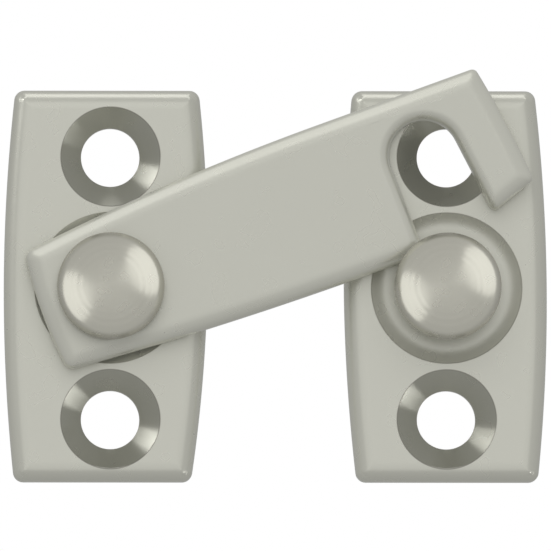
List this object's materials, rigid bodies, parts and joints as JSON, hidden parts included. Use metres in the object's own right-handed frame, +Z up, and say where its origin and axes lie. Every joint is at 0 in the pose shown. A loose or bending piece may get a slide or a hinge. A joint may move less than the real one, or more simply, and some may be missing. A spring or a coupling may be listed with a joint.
{
  "type": "window sash lock",
  "caption": "Bar latch for a pair of casement sashes: a bar turns on one plate and its hook drops over a capped post on the other.",
  "frame": {"origin": "on the bar's pivot axis, in the plane of the plates' backs, midway between the pivot plate's two screw holes", "axes": "+X from the pivot plate to the keeper plate, +Z up the window, and the front faces -Y, into the room"},
  "size_m": [0.0526, 0.0099, 0.0398],
  "materials": {
    "satin_nickel": "satin nickel plate on cast brass",
    "polished_nickel": "smooth turned brass, nickel plated",
    "turned_brass": "turned brass, nickel plated",
    "zinc_steel": "bright zinc plate on steel",
    "spring_steel": "tempered spring steel",
    "washer_plastic": "natural nylon"
  },
  "bodies": {
    "pivot_side": {"pivot_plate": "satin_nickel", "pivot_post": "turned_brass", "pivot_knob": "polished_nickel", "pivot_screw": "zinc_steel", "wave_washer": "spring_steel", "back_washer": "washer_plastic", "front_washer": "washer_plastic"},
    "latch": {"latch_bar": "satin_nickel"},
    "keeper_side": {"keeper_plate": "satin_nickel", "keeper_post": "turned_brass", "keeper_knob": "polished_nickel", "keeper_screw": "zinc_steel"}
  },
  "joints": [
    {"name": "bar_swing", "type": "hinge", "parent": "pivot_side", "child": "latch", "pos_m": [0, -0.0048, 0], "axis": [0, -1, 0], "range_deg": [-25, 322]},
    {"name": "keeper_away", "type": "slide", "parent": "pivot_side", "child": "keeper_side", "axis": [1, 0, 0], "range_m": [0, 0.03]}
  ]
}
